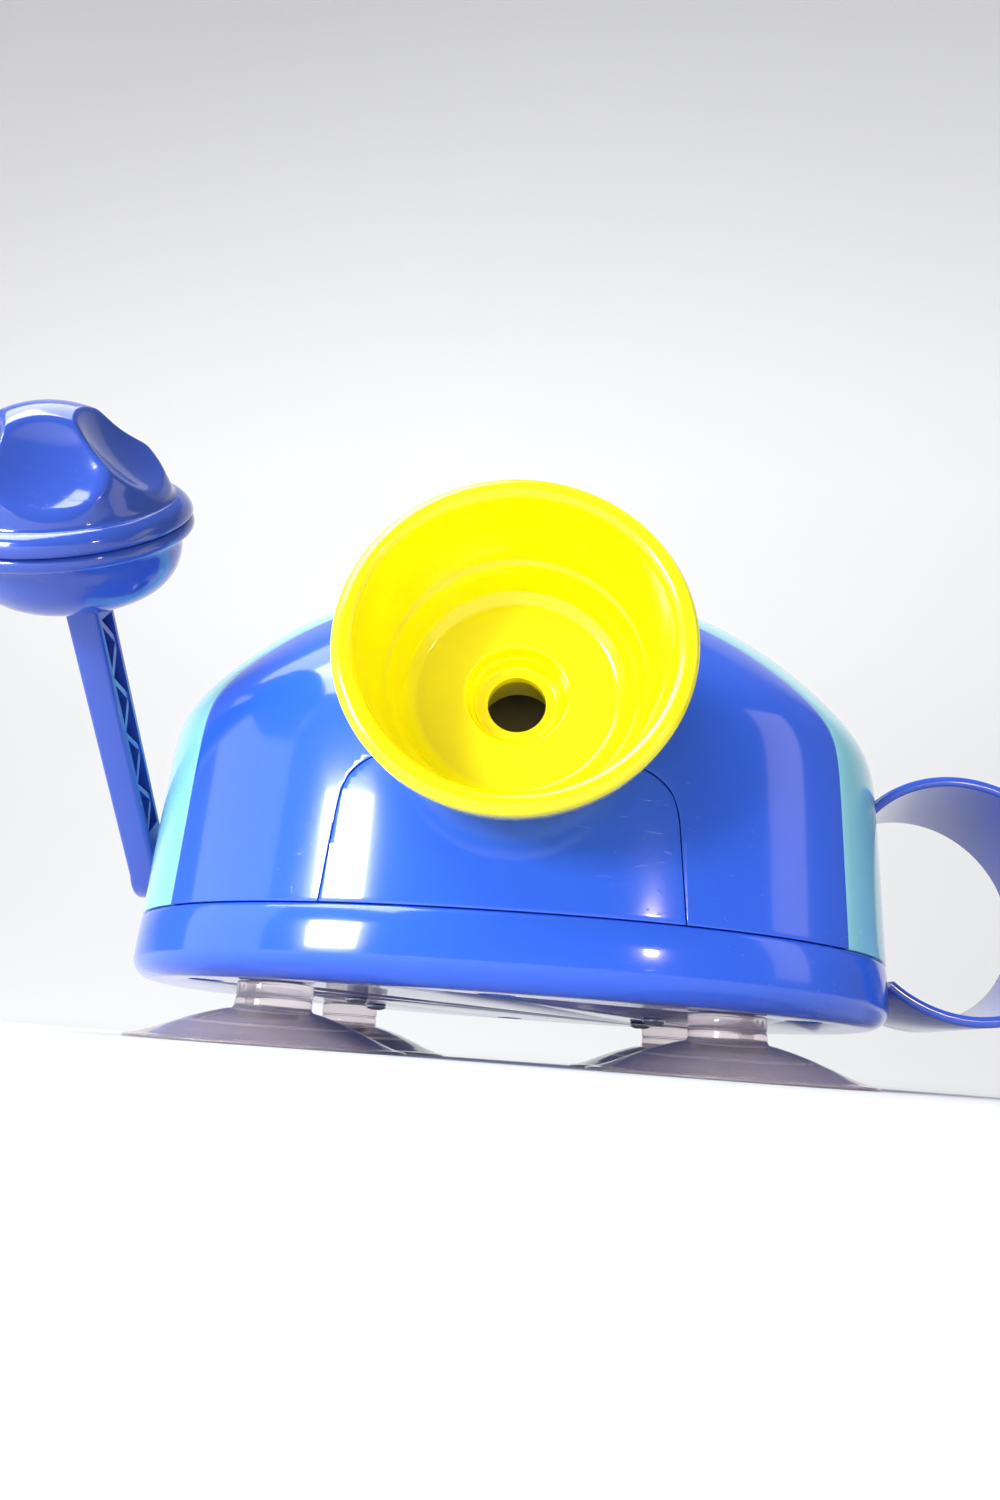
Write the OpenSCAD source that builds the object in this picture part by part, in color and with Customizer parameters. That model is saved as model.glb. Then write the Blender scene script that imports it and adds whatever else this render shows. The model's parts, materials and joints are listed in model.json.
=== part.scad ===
// Lever-operated tape dispenser on four suction cups.
// A domed case in three shells stands on a tray. A cup-shaped funnel faces
// forward (-Y), the feed lever swings at the left (-X) and a strap handle
// closes the right side (+X). Tape leaves through the mouth at the back.

/* [Case] */
// Half of the case's width
case_a = 79; // [74:0.5:84]
// Half of the case's depth
case_b = 58.5; // [54:0.5:66]
// Height of the case's top above the surface it stands on
case_top = 105; // [100:1:112]
// Wall of the shells
wall = 2.2; // [1.6:0.1:3]
// Half-width of the middle shell, front to back
mid_half = 39; // [36:0.5:42]

/* [Base] */
// Height of the tray's underside above the surface
base_z = 11; // [9:0.5:14]
// Height of the seam between tray and shells
seam_z = 23.7; // [22:0.1:26]
// How far the tray stands proud of the shells
base_proud = 0.1; // [0:0.1:1]

/* [Suction cups] */
// Radius of a suction cup's rim
cup_r = 25; // [20:0.5:28]
// Radius of a suction cup's neck
cup_neck_r = 7.2; // [6:0.1:8]
// Cup centre, sideways from the middle
cup_x = 41; // [36:0.5:44]
// Cup centre, front and back from the middle
cup_y = 36; // [33:0.5:36]

/* [Funnel] */
// Outer radius of the funnel's rim
funnel_r = 29.8; // [26:0.1:32]
// Inner radius at the rim
funnel_inner_r = 25.9; // [24:0.1:27]
// Height of the funnel's axis
funnel_z = 65; // [60:0.5:68]
// Front of the funnel's rim, forward of the middle
funnel_front = 75.6; // [70:0.1:80]
// Radius of the round hole in the funnel's floor
funnel_hole_r = 5.6; // [4:0.1:6.5]

/* [Lever] */
// Height of the lever's hinge
lever_z = 37.4; // [36:0.1:39]
// Lean of the resting lever, forward from upright
lever_lean = 50; // [40:1:60]
// Distance from the hinge to the seam of the knob
lever_len = 83.2; // [75:0.1:92]
// Thickness of the arm, sideways
arm_t = 6.3; // [5:0.1:7]
// Width of the arm across its swing
arm_w = 7.5; // [6:0.1:9]
// Radius of the knob's bead
knob_r = 22; // [18:0.5:24]

/* [Handle] */
// Outer radius of the handle's loop
loop_r = 26; // [22:0.5:28]
// Centre of the loop, sideways from the middle
loop_x = 94; // [90:0.5:98]
// Height of the loop's centre
loop_z = 39; // [36:0.5:42]
// Breadth of the strap, front to back
strap_w = 33; // [26:1:36]
// Thickness of the strap
strap_t = 2.6; // [2:0.1:3.5]

/* [Tape and feed] */
// Width of the tape
tape_w = 19; // [12:1:19]
// Outer radius of the full roll
tape_r = 22; // [18:0.5:22]
// Radius of the feed roller
feed_r = 8; // [7:0.1:8.5]
// Module of the gear teeth
gear_m = 1.5; // [1.5]

/* [Hidden] */
$fn = 96;

blue = [0.10, 0.27, 0.86];
violet = [0.14, 0.25, 0.78];
cyan = [0.55, 0.90, 0.98];
yellow = [1.0, 0.90, 0.05];
smoke = [0.78, 0.70, 0.74, 0.6];
steel = [0.75, 0.76, 0.78];
white = [0.92, 0.92, 0.90];
card = [0.70, 0.55, 0.38];

fit = 0.05;               // radial clearance of a shaft that turns in a hole
gap = 0.3;                // room for the tape between the rollers
plan_n = 2.2;             // squareness of the case's outline from above
roof_fall = 38.9;         // depth below the top at which the roof is as wide as the case
roof_power = 0.343;       // how the roof widens with depth below the top
shoulder_power = 40;      // sharpness of the shoulder between roof and side
roof_drops = [55, 43, 37.5, 33, 28, 22, 16, 10, 5, 2, 0.7, 0.2];
plan_points = 64;
slice_h = 0.2;            // height of the thin slices that the domed hulls join
base_floor = 2.5;
base_round = 4.5;
panel_gap = 0.25;         // half of the parting line beside the front panel
panel_low = 31.8;         // half-width of the front panel at the seam
panel_high = 29.3;        // half-width of the front panel near the funnel
panel_top = 51.5;

cup_head_z = base_z + base_floor;
hole_for_cup = 4.6;

mouth_y = -funnel_front;
funnel_floor = 25.5;      // depth of the floor behind the rim
funnel_step = 5.4;        // depth of the round recess in the floor
funnel_recess_r = 9.5;
funnel_wall = 2.0;
funnel_neck_r = 10.5;
funnel_len = 46;
sleeve_r = 25.8;          // outside of the funnel where it enters the case
sleeve_len = 35.1;

shaft_r = 3.5;
screw_r = 1.15;           // radius of the shell screws' shanks
bush_r = 6;
bush_in = -case_a + 10;   // inner end of the lever's bush
hub_r = 7.4;
arm_edge = -7;            // the arm's rear side, from the hinge's axis
arm_out = -case_a - 7.4;  // outer face of the lever
arm_in = arm_out + arm_t;
knob_x = arm_out + arm_t / 2;
knob_off = -3.25;         // knob axis across the arm, from the hinge
arm_rail = 1;             // rim beside the pockets, to the zigzag's corners
pocket_from = 14;         // start of the zigzag, from the hinge
pocket_deep = 3.4;
rib_count = 8;            // diagonal ribs of the zigzag
rib_rise = 6.3;           // length of arm that one rib spans
rib_t = 1.1;
pocket_w = arm_w - 2 * arm_rail;
rib_long = sqrt(pow(rib_rise, 2) + pow(pocket_w, 2));
// Size of each three-cornered pocket once half a rib is taken from its edges
pocket_scale = 1 - rib_t / 2 * (rib_rise + rib_long) / (rib_rise * pocket_w);

pressure_angle = 20;
backlash = 0.3;
sector_teeth = 28;
pinion_teeth = 12;
gear_w = 5;
gear_x = -46;
spring_turns = 5;
spring_steps = 24;         // points in one turn of the spring
spring_r = 7.6;
spring_wire = 0.6;
spring_x = bush_in + 2;
spring_pitch = 2.4;
wire_sides = 6;

feed_dir = 15;            // elevation of the feed shaft, seen from the hinge
gear_dist = gear_m * (sector_teeth + pinion_teeth) / 2;
feed_y = gear_dist * cos(feed_dir);
feed_z = lever_z + gear_dist * sin(feed_dir);
feed_shaft_r = 2.5;
press_r = 5;
press_dir = 50;
press_dist = feed_r + press_r + gap;
press_y = feed_y + press_dist * cos(press_dir);
press_z = feed_z + press_dist * sin(press_dir);
press_shaft_r = 1.5;

roll_y = 8;
roll_z = 70;
core_r = 13.5;
core_wall = 1.2;
spindle_r = 4;
plate_x = 32;             // middle of each frame plate, from the middle
plate_t = 3;

strap_end = case_a - 6.2; // end of the strap inside the case
strap_screw_y = 7;
strap_screw_z = loop_z + 15;

slot_z = 47;              // height of the tape's way out
slot_half = 11;           // half-width of the tape's way out
slot_h = 5;
mouth_out = 76.1;         // back of the mouth's lip

left_right = [-1, 1];
knob_bead = 3.4;          // radius of the bead around the knob's seam
knob_lobes = 5;
flute_turn = -68;         // direction of the first flute around the knob
flute_r = 24;             // radius of the ball that hollows out each flute
flute_out = 29.8;         // the ball's centre, from the knob's axis
flute_high = 27;          // and above the seam
dome_r = knob_r - knob_bead;  // radius of the knob's domed top
knob_front = -(lever_len + 3) * sin(lever_lean) + knob_off * cos(lever_lean) - dome_r;
row_x = (loop_x + loop_r + knob_x - knob_r) / 2;  // middle of the overall box
row_y = (mouth_out + knob_front) / 2;
corner = [56, 31];        // shell screws near the case's corners
screw_places = concat([for (s = left_right, t = left_right) [s * corner[0], t * corner[1]]],
                      [[0, -46], [0, 46]]);

// ---- outlines -------------------------------------------------------

function super_power(v, n) = sign(v) * pow(abs(v), 2 / n);
function plan(a, b, n = plan_n) = [
    for (i = [0 : plan_points - 1])
        let (t = 360 * i / plan_points)
            [a * super_power(cos(t), n), b * super_power(sin(t), n)]
];
// How wide the case is at a depth below its top, as a share of its full width
function dome_scale(drop) =
    pow(1 + pow(roof_fall / drop, roof_power * shoulder_power), -1 / shoulder_power);

module slice(z, a, b) {
    translate([0, 0, z]) linear_extrude(slice_h) polygon(plan(a, b));
}

// Solid dome of the case, shrunk by the given wall
module dome(inset) {
    hull() {
        slice(seam_z - inset, case_a - inset, case_b - inset);
        for (d = roof_drops)
            slice(case_top - inset - d,
                  (case_a - inset) * dome_scale(d), (case_b - inset) * dome_scale(d));
    }
}

module shell_wall() {
    difference() {
        dome(0);
        dome(wall);
        translate([-200, -200, seam_z - 40]) cube([400, 400, 40]);
    }
}

module tray_block(grow = 0) {
    a = case_a + base_proud + grow;
    b = case_b + base_proud + grow;
    hull() {
        for (t = [0 : 22.5 : 90])
            slice(base_z + base_round * (1 - sin(t)),
                  a - base_round * (1 - cos(t)), b - base_round * (1 - cos(t)));
        slice(seam_z - slice_h, a - 0.6, b - 0.6);
        slice(seam_z - 2.5, a, b);
    }
}

module along_x(x0, x1, y, z, r) {
    translate([x0, y, z]) rotate([0, 90, 0]) cylinder(r = r, h = x1 - x0);
}

module along_y(y0, y1, x, z, r) {
    translate([x, y0, z]) rotate([-90, 0, 0]) cylinder(r = r, h = y1 - y0);
}

// Places its child at the seam of the knob, with +Z along the arm
module on_lever() {
    translate([0, 0, lever_z]) rotate([lever_lean, 0, 0]) children();
}

// ---- case -----------------------------------------------------------

module base_tray() color(blue) {
    difference() {
        union() {
            difference() {
                tray_block();
                translate([0, 0, base_z + base_floor]) linear_extrude(20)
                    polygon(plan(case_a - wall - 1, case_b - wall - 1));
            }
            for (p = screw_places)
                translate([p[0], p[1], base_z + 1]) cylinder(r = 4, h = seam_z - base_z - 1.1);
        }
        for (x = left_right * cup_x, y = left_right * cup_y)
            translate([x, y, base_z - 1]) cylinder(r = hole_for_cup, h = 6);
        for (p = screw_places) {
            translate([p[0], p[1], base_z - 1]) cylinder(r = 1.7, h = 20);
            translate([p[0], p[1], base_z - 1]) cylinder(r = 3.2, h = 3);
        }
        for (s = left_right, y = [-4, 22])
            translate([s * plate_x, y, base_z - 1]) cylinder(r = 1.3, h = 20);
    }
}

// Outline of the front panel, drawn in front view and grown by g
module panel_outline(g) {
    half = [[panel_low, seam_z - 5], [panel_high, 44], [panel_high - 1.8, 47.5],
            [panel_high - 4.8, 50.2], [panel_high - 9, panel_top]];
    rotate([90, 0, 0]) translate([0, 0, 44]) linear_extrude(40) polygon(concat(
        [for (p = half) [p[0] + g, p[1] + (p[1] > 46 ? g : 0)]],
        [for (i = [len(half) - 1 : -1 : 0]) let (p = half[i]) [-p[0] - g, p[1] + (p[1] > 46 ? g : 0)]]));
}

module band(y0, y1) {
    translate([-200, y0, 0]) cube([400, y1 - y0, 200]);
}

module screw_post(x, y, top) {
    translate([x, y, seam_z]) difference() {
        cylinder(r = 4, h = top - seam_z);
        translate([0, 0, -1]) cylinder(r = screw_r + fit, h = top - seam_z);
    }
}

module front_shell() color(blue) {
    back = mouth_y + sleeve_len;
    difference() {
        union() {
            intersection() {
                shell_wall();
                band(-100, -mid_half);
            }
            intersection() {
                union() {
                    dome(wall + 0.2);
                    intersection() {
                        dome(0.5);
                        band(-100, -mid_half);
                    }
                }
                union() {
                    along_y(back + 0.1, back + 2.1, 0, funnel_z, sleeve_r + 1.2);
                    translate([-60, back + 0.1, funnel_z - 8]) cube([120, 2, 16]);
                }
            }
        }
        panel_outline(panel_gap);
        along_y(-100, back, 0, funnel_z, sleeve_r + 0.1);
        along_y(-60, -30, 0, funnel_z, funnel_neck_r + 0.1);
    }
}

module front_panel() color(blue) {
    difference() {
        union() {
            intersection() {
                shell_wall();
                panel_outline(-panel_gap);
            }
            screw_post(0, -46, 32);
            translate([-2, -57, seam_z]) cube([4, 8, 8]);
        }
        along_y(-100, -40, 0, funnel_z, sleeve_r + 0.1);
    }
}

module mid_shell() color(cyan) {
    difference() {
        union() {
            intersection() {
                shell_wall();
                band(-mid_half + 0.1, mid_half - 0.1);
            }
            along_x(-case_a + 1, bush_in - 1, 0, lever_z, bush_r + 3);
            for (s = left_right, t = left_right) {
                screw_post(s * corner[0], t * corner[1], 30);
                translate([s * (corner[0] + 7) - 4, t * corner[1] - 1.2, seam_z])
                    cube([8, 2.4, 5]);
            }
        }
        along_x(-100, -60, 0, lever_z, bush_r);
        strap_ring(0.05);
        for (y = left_right * strap_screw_y)
            along_x(case_a - 8, case_a - 1.2, y, strap_screw_z, screw_r + fit);
    }
}

module rear_shell() color(blue) {
    difference() {
        union() {
            intersection() {
                shell_wall();
                band(mid_half, 100);
            }
            screw_post(0, 46, 30);
            translate([-2, 49, seam_z]) cube([4, 8, 6]);
        }
        translate([-slot_half - 3, 40, slot_z - 6]) cube([2 * slot_half + 6, 60, 12]);
    }
}

// ---- funnel ---------------------------------------------------------

function arc(cx, cy, r, a0, a1, steps) = [
    for (i = [0 : steps]) let (a = a0 + (a1 - a0) * i / steps) [cx + r * cos(a), cy + r * sin(a)]
];

// Profile as [radius, depth behind the rim]
function funnel_profile() =
    let (lip = (funnel_r - funnel_inner_r) / 2,
         bottom = funnel_floor + funnel_step)
    concat(
        arc(funnel_inner_r + lip, lip, lip, 180, 340, 10),
        [[funnel_r - 0.7, lip + 3.4],
         [funnel_r - 2.2, lip + 3.7],
         [sleeve_r + 0.3, 16],
         [sleeve_r, 16.8],
         [sleeve_r, sleeve_len],
         [sleeve_r - 1.8, sleeve_len],
         [sleeve_r - 1.8, funnel_floor - 2],
         [sleeve_r - 4, funnel_floor + funnel_wall],
         [funnel_neck_r, funnel_floor + funnel_wall],
         [funnel_neck_r, funnel_len],
         [funnel_neck_r - 2.5, funnel_len],
         [funnel_neck_r - 2.5, bottom + funnel_wall],
         [funnel_hole_r, bottom + funnel_wall],
         [funnel_hole_r, bottom],
         [funnel_recess_r - 1.6, bottom],
         [funnel_recess_r - 1.2, funnel_floor + 3],
         [funnel_recess_r - 0.5, funnel_floor + 2.6],
         [funnel_recess_r, funnel_floor]],
        arc(18.6, funnel_floor - 2.5, 2.5, 90, 20, 5),
        [[22.0, funnel_floor - 5.6],
         [22.9, funnel_floor - 7.4],
         [24.0, funnel_floor - 8.2]]);

module funnel() color(yellow) {
    translate([0, mouth_y, funnel_z]) rotate([-90, 0, 0])
        rotate_extrude() polygon(funnel_profile());
}

module funnel_ring() color(white) {
    difference() {
        along_y(-38.1, -35, 0, funnel_z, 15);
        along_y(-42, -30, 0, funnel_z, funnel_neck_r + 0.1);
    }
}

// ---- suction cups ---------------------------------------------------

module suction_cup(x, y) color(smoke) {
    low = base_z / 2;
    translate([x, y, 0]) rotate_extrude() polygon([
        [cup_r - 0.9, 0], [cup_r, 0], [cup_r, 0.5],
        [cup_r - 3.4, 1.5],
        [cup_r * 0.55, low - 1.6],
        [cup_neck_r + 1.2, low - 0.2],
        [cup_neck_r - 0.6, low + 0.3],
        [cup_neck_r - 0.6, low + 2.6],
        [cup_neck_r, low + 2.9],
        [cup_neck_r, base_z - 0.02],
        [hole_for_cup - fit, base_z - 0.02],
        [hole_for_cup - fit, cup_head_z + 0.55],
        [6.2, cup_head_z + 0.6],
        [5.6, cup_head_z + 2.2],
        [0, cup_head_z + 2.8],
        [0, low - 1.2],
        [5, low - 1.8],
        [cup_r * 0.5, 2.2],
        [cup_r - 4.2, 0.6]]);
}

module suction_cup_front_left() suction_cup(-cup_x, -cup_y);
module suction_cup_front_right() suction_cup(cup_x, -cup_y);
module suction_cup_rear_left() suction_cup(-cup_x, cup_y);
module suction_cup_rear_right() suction_cup(cup_x, cup_y);

// ---- lever and knob -------------------------------------------------

// The three-cornered pocket between ribs i - 1 and i, with its base on one side of the arm
module arm_pocket(i, side) {
    base = side * (pocket_w - rib_t) / 2;
    tip = base - side * pocket_w * pocket_scale;
    half = rib_rise * pocket_scale;
    on_lever() translate([arm_in - pocket_deep, arm_edge + arm_w / 2, pocket_from + i * rib_rise])
        rotate([90, 0, 90]) linear_extrude(2 * pocket_deep)
            polygon([[base, -half], [base, half], [tip, 0]]);
}

module lever_arm() color(violet) {
    difference() {
        union() {
            on_lever() along_x(arm_out, arm_in, 0, 0, hub_r);
            on_lever() translate([arm_out, arm_edge, 0]) cube([arm_t, arm_w, lever_len - 13]);
        }
        along_x(-200, -50, 0, lever_z, shaft_r);
        for (i = [1 : rib_count - 1]) arm_pocket(i, i % 2 == 0 ? 1 : -1);
        on_lever() translate([knob_x, knob_off, lever_len - 17.5]) cylinder(r = screw_r, h = 30);
    }
}

// Moves its child to the knob's axis, with z = 0 at the seam
module on_knob() {
    on_lever() translate([knob_x, knob_off, lever_len]) children();
}

module knob_bottom() color(violet) {
    on_knob() difference() {
        rotate_extrude() polygon(concat(
            [[0, -0.1], [knob_r, -0.1]],
            arc(knob_r - knob_bead, -0.1, knob_bead, 0, -70, 8),
            [[knob_r - 3.6, -4.2]],
            arc(knob_r - 13, -4.5, 10, 0, -80, 10),
            [[0, -14.6]]));
        translate([-arm_t / 2, arm_edge - knob_off, -20]) cube([arm_t, arm_w, 7]);
        translate([0, 0, -30]) cylinder(r = 1.6, h = 60);
        translate([0, 0, -10]) cylinder(r = 14, h = 20);
    }
}

module knob_top() color(violet) {
    on_knob() difference() {
        rotate_extrude() polygon(concat(
            [[0, 0.1], [knob_r, 0.1]],
            arc(knob_r - knob_bead, 0.1, knob_bead, 0, 75, 8),
            [[knob_r - 3.2, 3.9], [knob_r - 3.2, 5.5]],
            arc(0, 3, dome_r, 12, 90, 16)));
        for (i = [0 : knob_lobes - 1])
            rotate([0, 0, 360 * i / knob_lobes + flute_turn]) translate([flute_out, 0, flute_high])
                sphere(r = flute_r);
        translate([0, 0, -5]) cylinder(r = 10, h = 14);
    }
}

module knob_screw() color(steel) {
    on_knob() {
        translate([0, 0, -17]) cylinder(r = screw_r, h = 7.2);
        translate([0, 0, -9.9]) cylinder(r = 3, h = 2);
    }
}

module lever_shaft() color(steel) {
    along_x(arm_out + 0.6, -plate_x + 6, 0, lever_z, shaft_r);
}

module shaft_bush() color(white) {
    difference() {
        union() {
            along_x(-case_a, bush_in, 0, lever_z, bush_r);
            along_x(-case_a - 0.8, -case_a, 0, lever_z, bush_r + 3);
        }
        along_x(-100, -60, 0, lever_z, shaft_r + fit);
    }
}

// ---- gears ----------------------------------------------------------

function involute(r, base) =
    let (t = sqrt(max(0, pow(r / base, 2) - 1))) t * 180 / PI - atan(t);

// One flank as [radius, angle from the tooth's middle]
function flank(teeth) =
    let (pitch = gear_m * teeth / 2,
         base = pitch * cos(pressure_angle),
         root = pitch - 1.25 * gear_m,
         tip = pitch + 0.95 * gear_m,
         half = 90 / teeth - backlash / pitch * 45 / PI + involute(pitch, base),
         start = max(base, root))
    concat([[root, half]],
           [for (i = [0 : 5]) let (r = start + (tip - start) * i / 5) [r, half - involute(r, base)]]);

function polar(p) = [p[0] * cos(p[1]), p[0] * sin(p[1])];
function tooth(teeth, at) =
    let (side = flank(teeth), last = len(side) - 1)
    concat([for (i = [0 : last]) polar([side[i][0], at - side[i][1]])],
           [for (i = [last : -1 : 0]) polar([side[i][0], at + side[i][1]])]);

// Turns an outline in [y, z] into a plate that starts at x
module plate_yz(x, t) {
    translate([x, 0, 0]) rotate([90, 0, 90]) linear_extrude(t) children();
}

module sector_gear() color(white) {
    step = 360 / sector_teeth;
    first = -1;
    last = 7;
    root = gear_m * (sector_teeth / 2 - 1.25);
    difference() {
        union() {
            plate_yz(gear_x, gear_w) translate([0, lever_z]) polygon(concat(
                [[0, 0]],
                [for (i = [first : last]) each tooth(sector_teeth, feed_dir + i * step)]));
            along_x(gear_x, gear_x + gear_w + 4, 0, lever_z, 7.5);
        }
        along_x(-100, 0, 0, lever_z, shaft_r);
        along_x(gear_x - 1, gear_x + 1.2, 11, lever_z + 8, 4);
        along_x(gear_x - 1, gear_x + 1.2, 3, lever_z + 13, 2.5);
    }
}

module feed_pinion() color(white) {
    step = 360 / pinion_teeth;
    difference() {
        plate_yz(gear_x - 0.5, gear_w + 1) translate([feed_y, feed_z]) polygon(
            [for (i = [0 : pinion_teeth - 1]) each tooth(pinion_teeth, feed_dir + 180 + (i + 0.5) * step)]);
        along_x(-100, 0, feed_y, feed_z, feed_shaft_r);
    }
}

// ---- return spring --------------------------------------------------

function spring_point(i, k) =
    let (a = 360 * i / spring_steps, b = 360 * k / wire_sides, r = spring_r + spring_wire * cos(b))
    [spring_x + spring_pitch * a / 360 + spring_wire * sin(b), r * cos(a), lever_z + r * sin(a)];

module return_spring() color(steel) {
    rings = spring_turns * spring_steps;
    points = [for (i = [0 : rings], k = [0 : wire_sides - 1]) spring_point(i, k)];
    sides = [
        for (i = [0 : rings - 1], k = [0 : wire_sides - 1])
            let (n = (k + 1) % wire_sides, a = i * wire_sides, b = a + wire_sides)
            [a + k, a + n, b + n, b + k]
    ];
    ends = [[for (k = [wire_sides - 1 : -1 : 0]) k], [for (k = [0 : wire_sides - 1]) rings * wire_sides + k]];
    polyhedron(points, concat(sides, ends), convexity = 6);
}

// ---- inner frame, roll and feed -------------------------------------

module frame_plate(s, with_lever) color(white) {
    x = s * plate_x - plate_t / 2;
    floor_z = base_z + base_floor;
    difference() {
        union() {
            plate_yz(x, plate_t) polygon([
                [-12, floor_z], [38, floor_z], [42, 50], [40, 58],
                [17, 78], [0, 80], [-10, 50]]);
            translate([s * plate_x - 5, -8, floor_z]) cube([10, 8, 3]);
            translate([s * plate_x - 5, 18, floor_z]) cube([10, 8, 3]);
        }
        if (with_lever) along_x(-60, 0, 0, lever_z, shaft_r + fit);
        along_x(-60, 60, feed_y, feed_z, feed_shaft_r + fit);
        along_x(-60, 60, press_y, press_z, press_shaft_r + fit);
        along_x(-60, 60, roll_y, roll_z, spindle_r);
        for (y = [-4, 22])
            translate([s * plate_x, y, 0]) cylinder(r = 1.0, h = floor_z + 6);
    }
}

module frame_left() frame_plate(-1, true);
module frame_right() frame_plate(1, false);

module spindle() color(steel) {
    along_x(-plate_x - 3, plate_x + 3, roll_y, roll_z, spindle_r);
}

module tape_hub() color(white) {
    half = tape_w / 2;
    difference() {
        union() {
            along_x(-half, half, roll_y, roll_z, core_r - core_wall);
            along_x(-half - 1.6, -half, roll_y, roll_z, core_r + 2);
        }
        along_x(-60, 60, roll_y, roll_z, spindle_r + fit);
        for (i = [0 : 5])
            translate([0, roll_y, roll_z]) rotate([60 * i, 0, 0])
                translate([-60, 0, 0]) along_x(0, 120, 8.3, 0, 2.2);
    }
}

module tape_core() color(card) {
    half = tape_w / 2;
    difference() {
        along_x(-half, half, roll_y, roll_z, core_r);
        along_x(-60, 60, roll_y, roll_z, core_r - core_wall);
    }
}

module tape_roll() color([0.93, 0.90, 0.78]) {
    half = tape_w / 2;
    difference() {
        along_x(-half, half, roll_y, roll_z, tape_r);
        along_x(-60, 60, roll_y, roll_z, core_r);
    }
}

module feed_shaft() color(steel) {
    along_x(gear_x - 4, plate_x + 3, feed_y, feed_z, feed_shaft_r);
}

module feed_roller() color([0.2, 0.2, 0.22]) {
    half = tape_w / 2 + 1.5;
    difference() {
        along_x(-half, half, feed_y, feed_z, feed_r);
        along_x(-60, 60, feed_y, feed_z, feed_shaft_r);
    }
}

module pressure_shaft() color(steel) {
    along_x(-plate_x - 3, plate_x + 3, press_y, press_z, press_shaft_r);
}

module pressure_roller() color(white) {
    half = tape_w / 2 + 1.5;
    difference() {
        along_x(-half, half, press_y, press_z, press_r);
        along_x(-60, 60, press_y, press_z, press_shaft_r + fit);
    }
}

// ---- mouth and cutter -----------------------------------------------

module tape_mouth() color(yellow) {
    deep = 50;
    difference() {
        plate_yz(-slot_half - 2.5, 2 * slot_half + 5) polygon([
            [deep, slot_z - 5.5], [mouth_out - 3, slot_z - 5.5], [mouth_out, slot_z - 3],
            [mouth_out, slot_z - 1], [mouth_out - 8, slot_z + 5.5], [deep, slot_z + 5.5]]);
        translate([-slot_half, deep - 1, slot_z - slot_h / 2]) cube([2 * slot_half, 40, slot_h]);
        translate([-slot_half - 0.05, mouth_out - 3.2, slot_z - 1.6]) cube([2 * slot_half + 0.1, 10, 10]);
    }
}

module cutter_blade() color(steel) {
    teeth = 11;
    w = 2 * slot_half / teeth;
    back = mouth_out - 12;
    edge = mouth_out - 4.4;
    translate([-slot_half, 0, slot_z - slot_h / 2]) linear_extrude(0.5) polygon(concat(
        [[0, back]],
        [for (i = [0 : teeth - 1]) each [[i * w, edge], [(i + 0.5) * w, edge + 1.1]]],
        [[teeth * w, edge], [teeth * w, back]]));
}

// ---- handle and fasteners -------------------------------------------

module strap_ring(grow) {
    half = strap_w / 2 + grow;
    difference() {
        along_y(-half, half, loop_x, loop_z, loop_r + grow);
        along_y(-half - 1, half + 1, loop_x, loop_z, loop_r - strap_t - grow);
        translate([0, -100, 0]) cube([strap_end, 200, 200]);
        translate([0, -100, 0]) cube([case_a - 1.5, 200, loop_z]);
    }
}

// The loop's upper end passes through the case's side and is screwed on from inside
module handle_strap() color(violet) {
    difference() {
        union() {
            strap_ring(0);
            translate([strap_end, -11, strap_screw_z - 4]) cube([case_a - 4 - strap_end, 22, 8]);
        }
        tray_block(0.05);
        difference() {
            dome(-0.05);
            translate([0, -100, loop_z]) cube([200, 200, 100]);
        }
        for (y = left_right * strap_screw_y)
            along_x(60, 100, y, strap_screw_z, screw_r + fit);
    }
}

module handle_screws() color(steel) {
    for (y = left_right * strap_screw_y) {
        along_x(strap_end, case_a - 1.4, y, strap_screw_z, screw_r);
        along_x(strap_end - 1.8, strap_end, y, strap_screw_z, 2.5);
    }
}

module base_screws() color(steel) {
    for (p = screw_places) translate([p[0], p[1], 0]) {
        translate([0, 0, base_z + 1]) cylinder(r = screw_r, h = 15);
        translate([0, 0, base_z + 0.3]) cylinder(r = 2.9, h = 1.65);
    }
}

module frame_screws() color(steel) {
    for (s = left_right, y = [-4, 22]) translate([s * plate_x, y, 0]) {
        translate([0, 0, base_z - 0.02]) cylinder(r = 0.95, h = 7);
        translate([0, 0, base_z - 1.4]) cylinder(r = 2.4, h = 1.38);
    }
}

module shaft_clips() color(steel) {
    difference() {
        along_x(plate_x + 2, plate_x + 2.8, feed_y, feed_z, 4.5);
        along_x(0, 60, feed_y, feed_z, feed_shaft_r);
    }
}

module placed() {
    translate([-row_x, -row_y, 0]) children();
}

placed() base_tray();
placed() front_shell();
placed() mid_shell();
placed() rear_shell();
placed() front_panel();
placed() funnel();
placed() funnel_ring();
placed() suction_cup_front_left();
placed() suction_cup_front_right();
placed() suction_cup_rear_left();
placed() suction_cup_rear_right();
placed() lever_arm();
placed() knob_bottom();
placed() knob_top();
placed() knob_screw();
placed() lever_shaft();
placed() shaft_bush();
placed() sector_gear();
placed() return_spring();
placed() frame_left();
placed() frame_right();
placed() spindle();
placed() tape_hub();
placed() tape_core();
placed() tape_roll();
placed() feed_shaft();
placed() feed_pinion();
placed() feed_roller();
placed() pressure_shaft();
placed() pressure_roller();
placed() tape_mouth();
placed() cutter_blade();
placed() handle_strap();
placed() handle_screws();
placed() base_screws();
placed() frame_screws();
placed() shaft_clips();
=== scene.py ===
"""Looks of the lever-operated tape dispenser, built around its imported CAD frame."""
import json
import math

import bmesh
import bpy
from mathutils import Matrix, Vector


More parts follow.
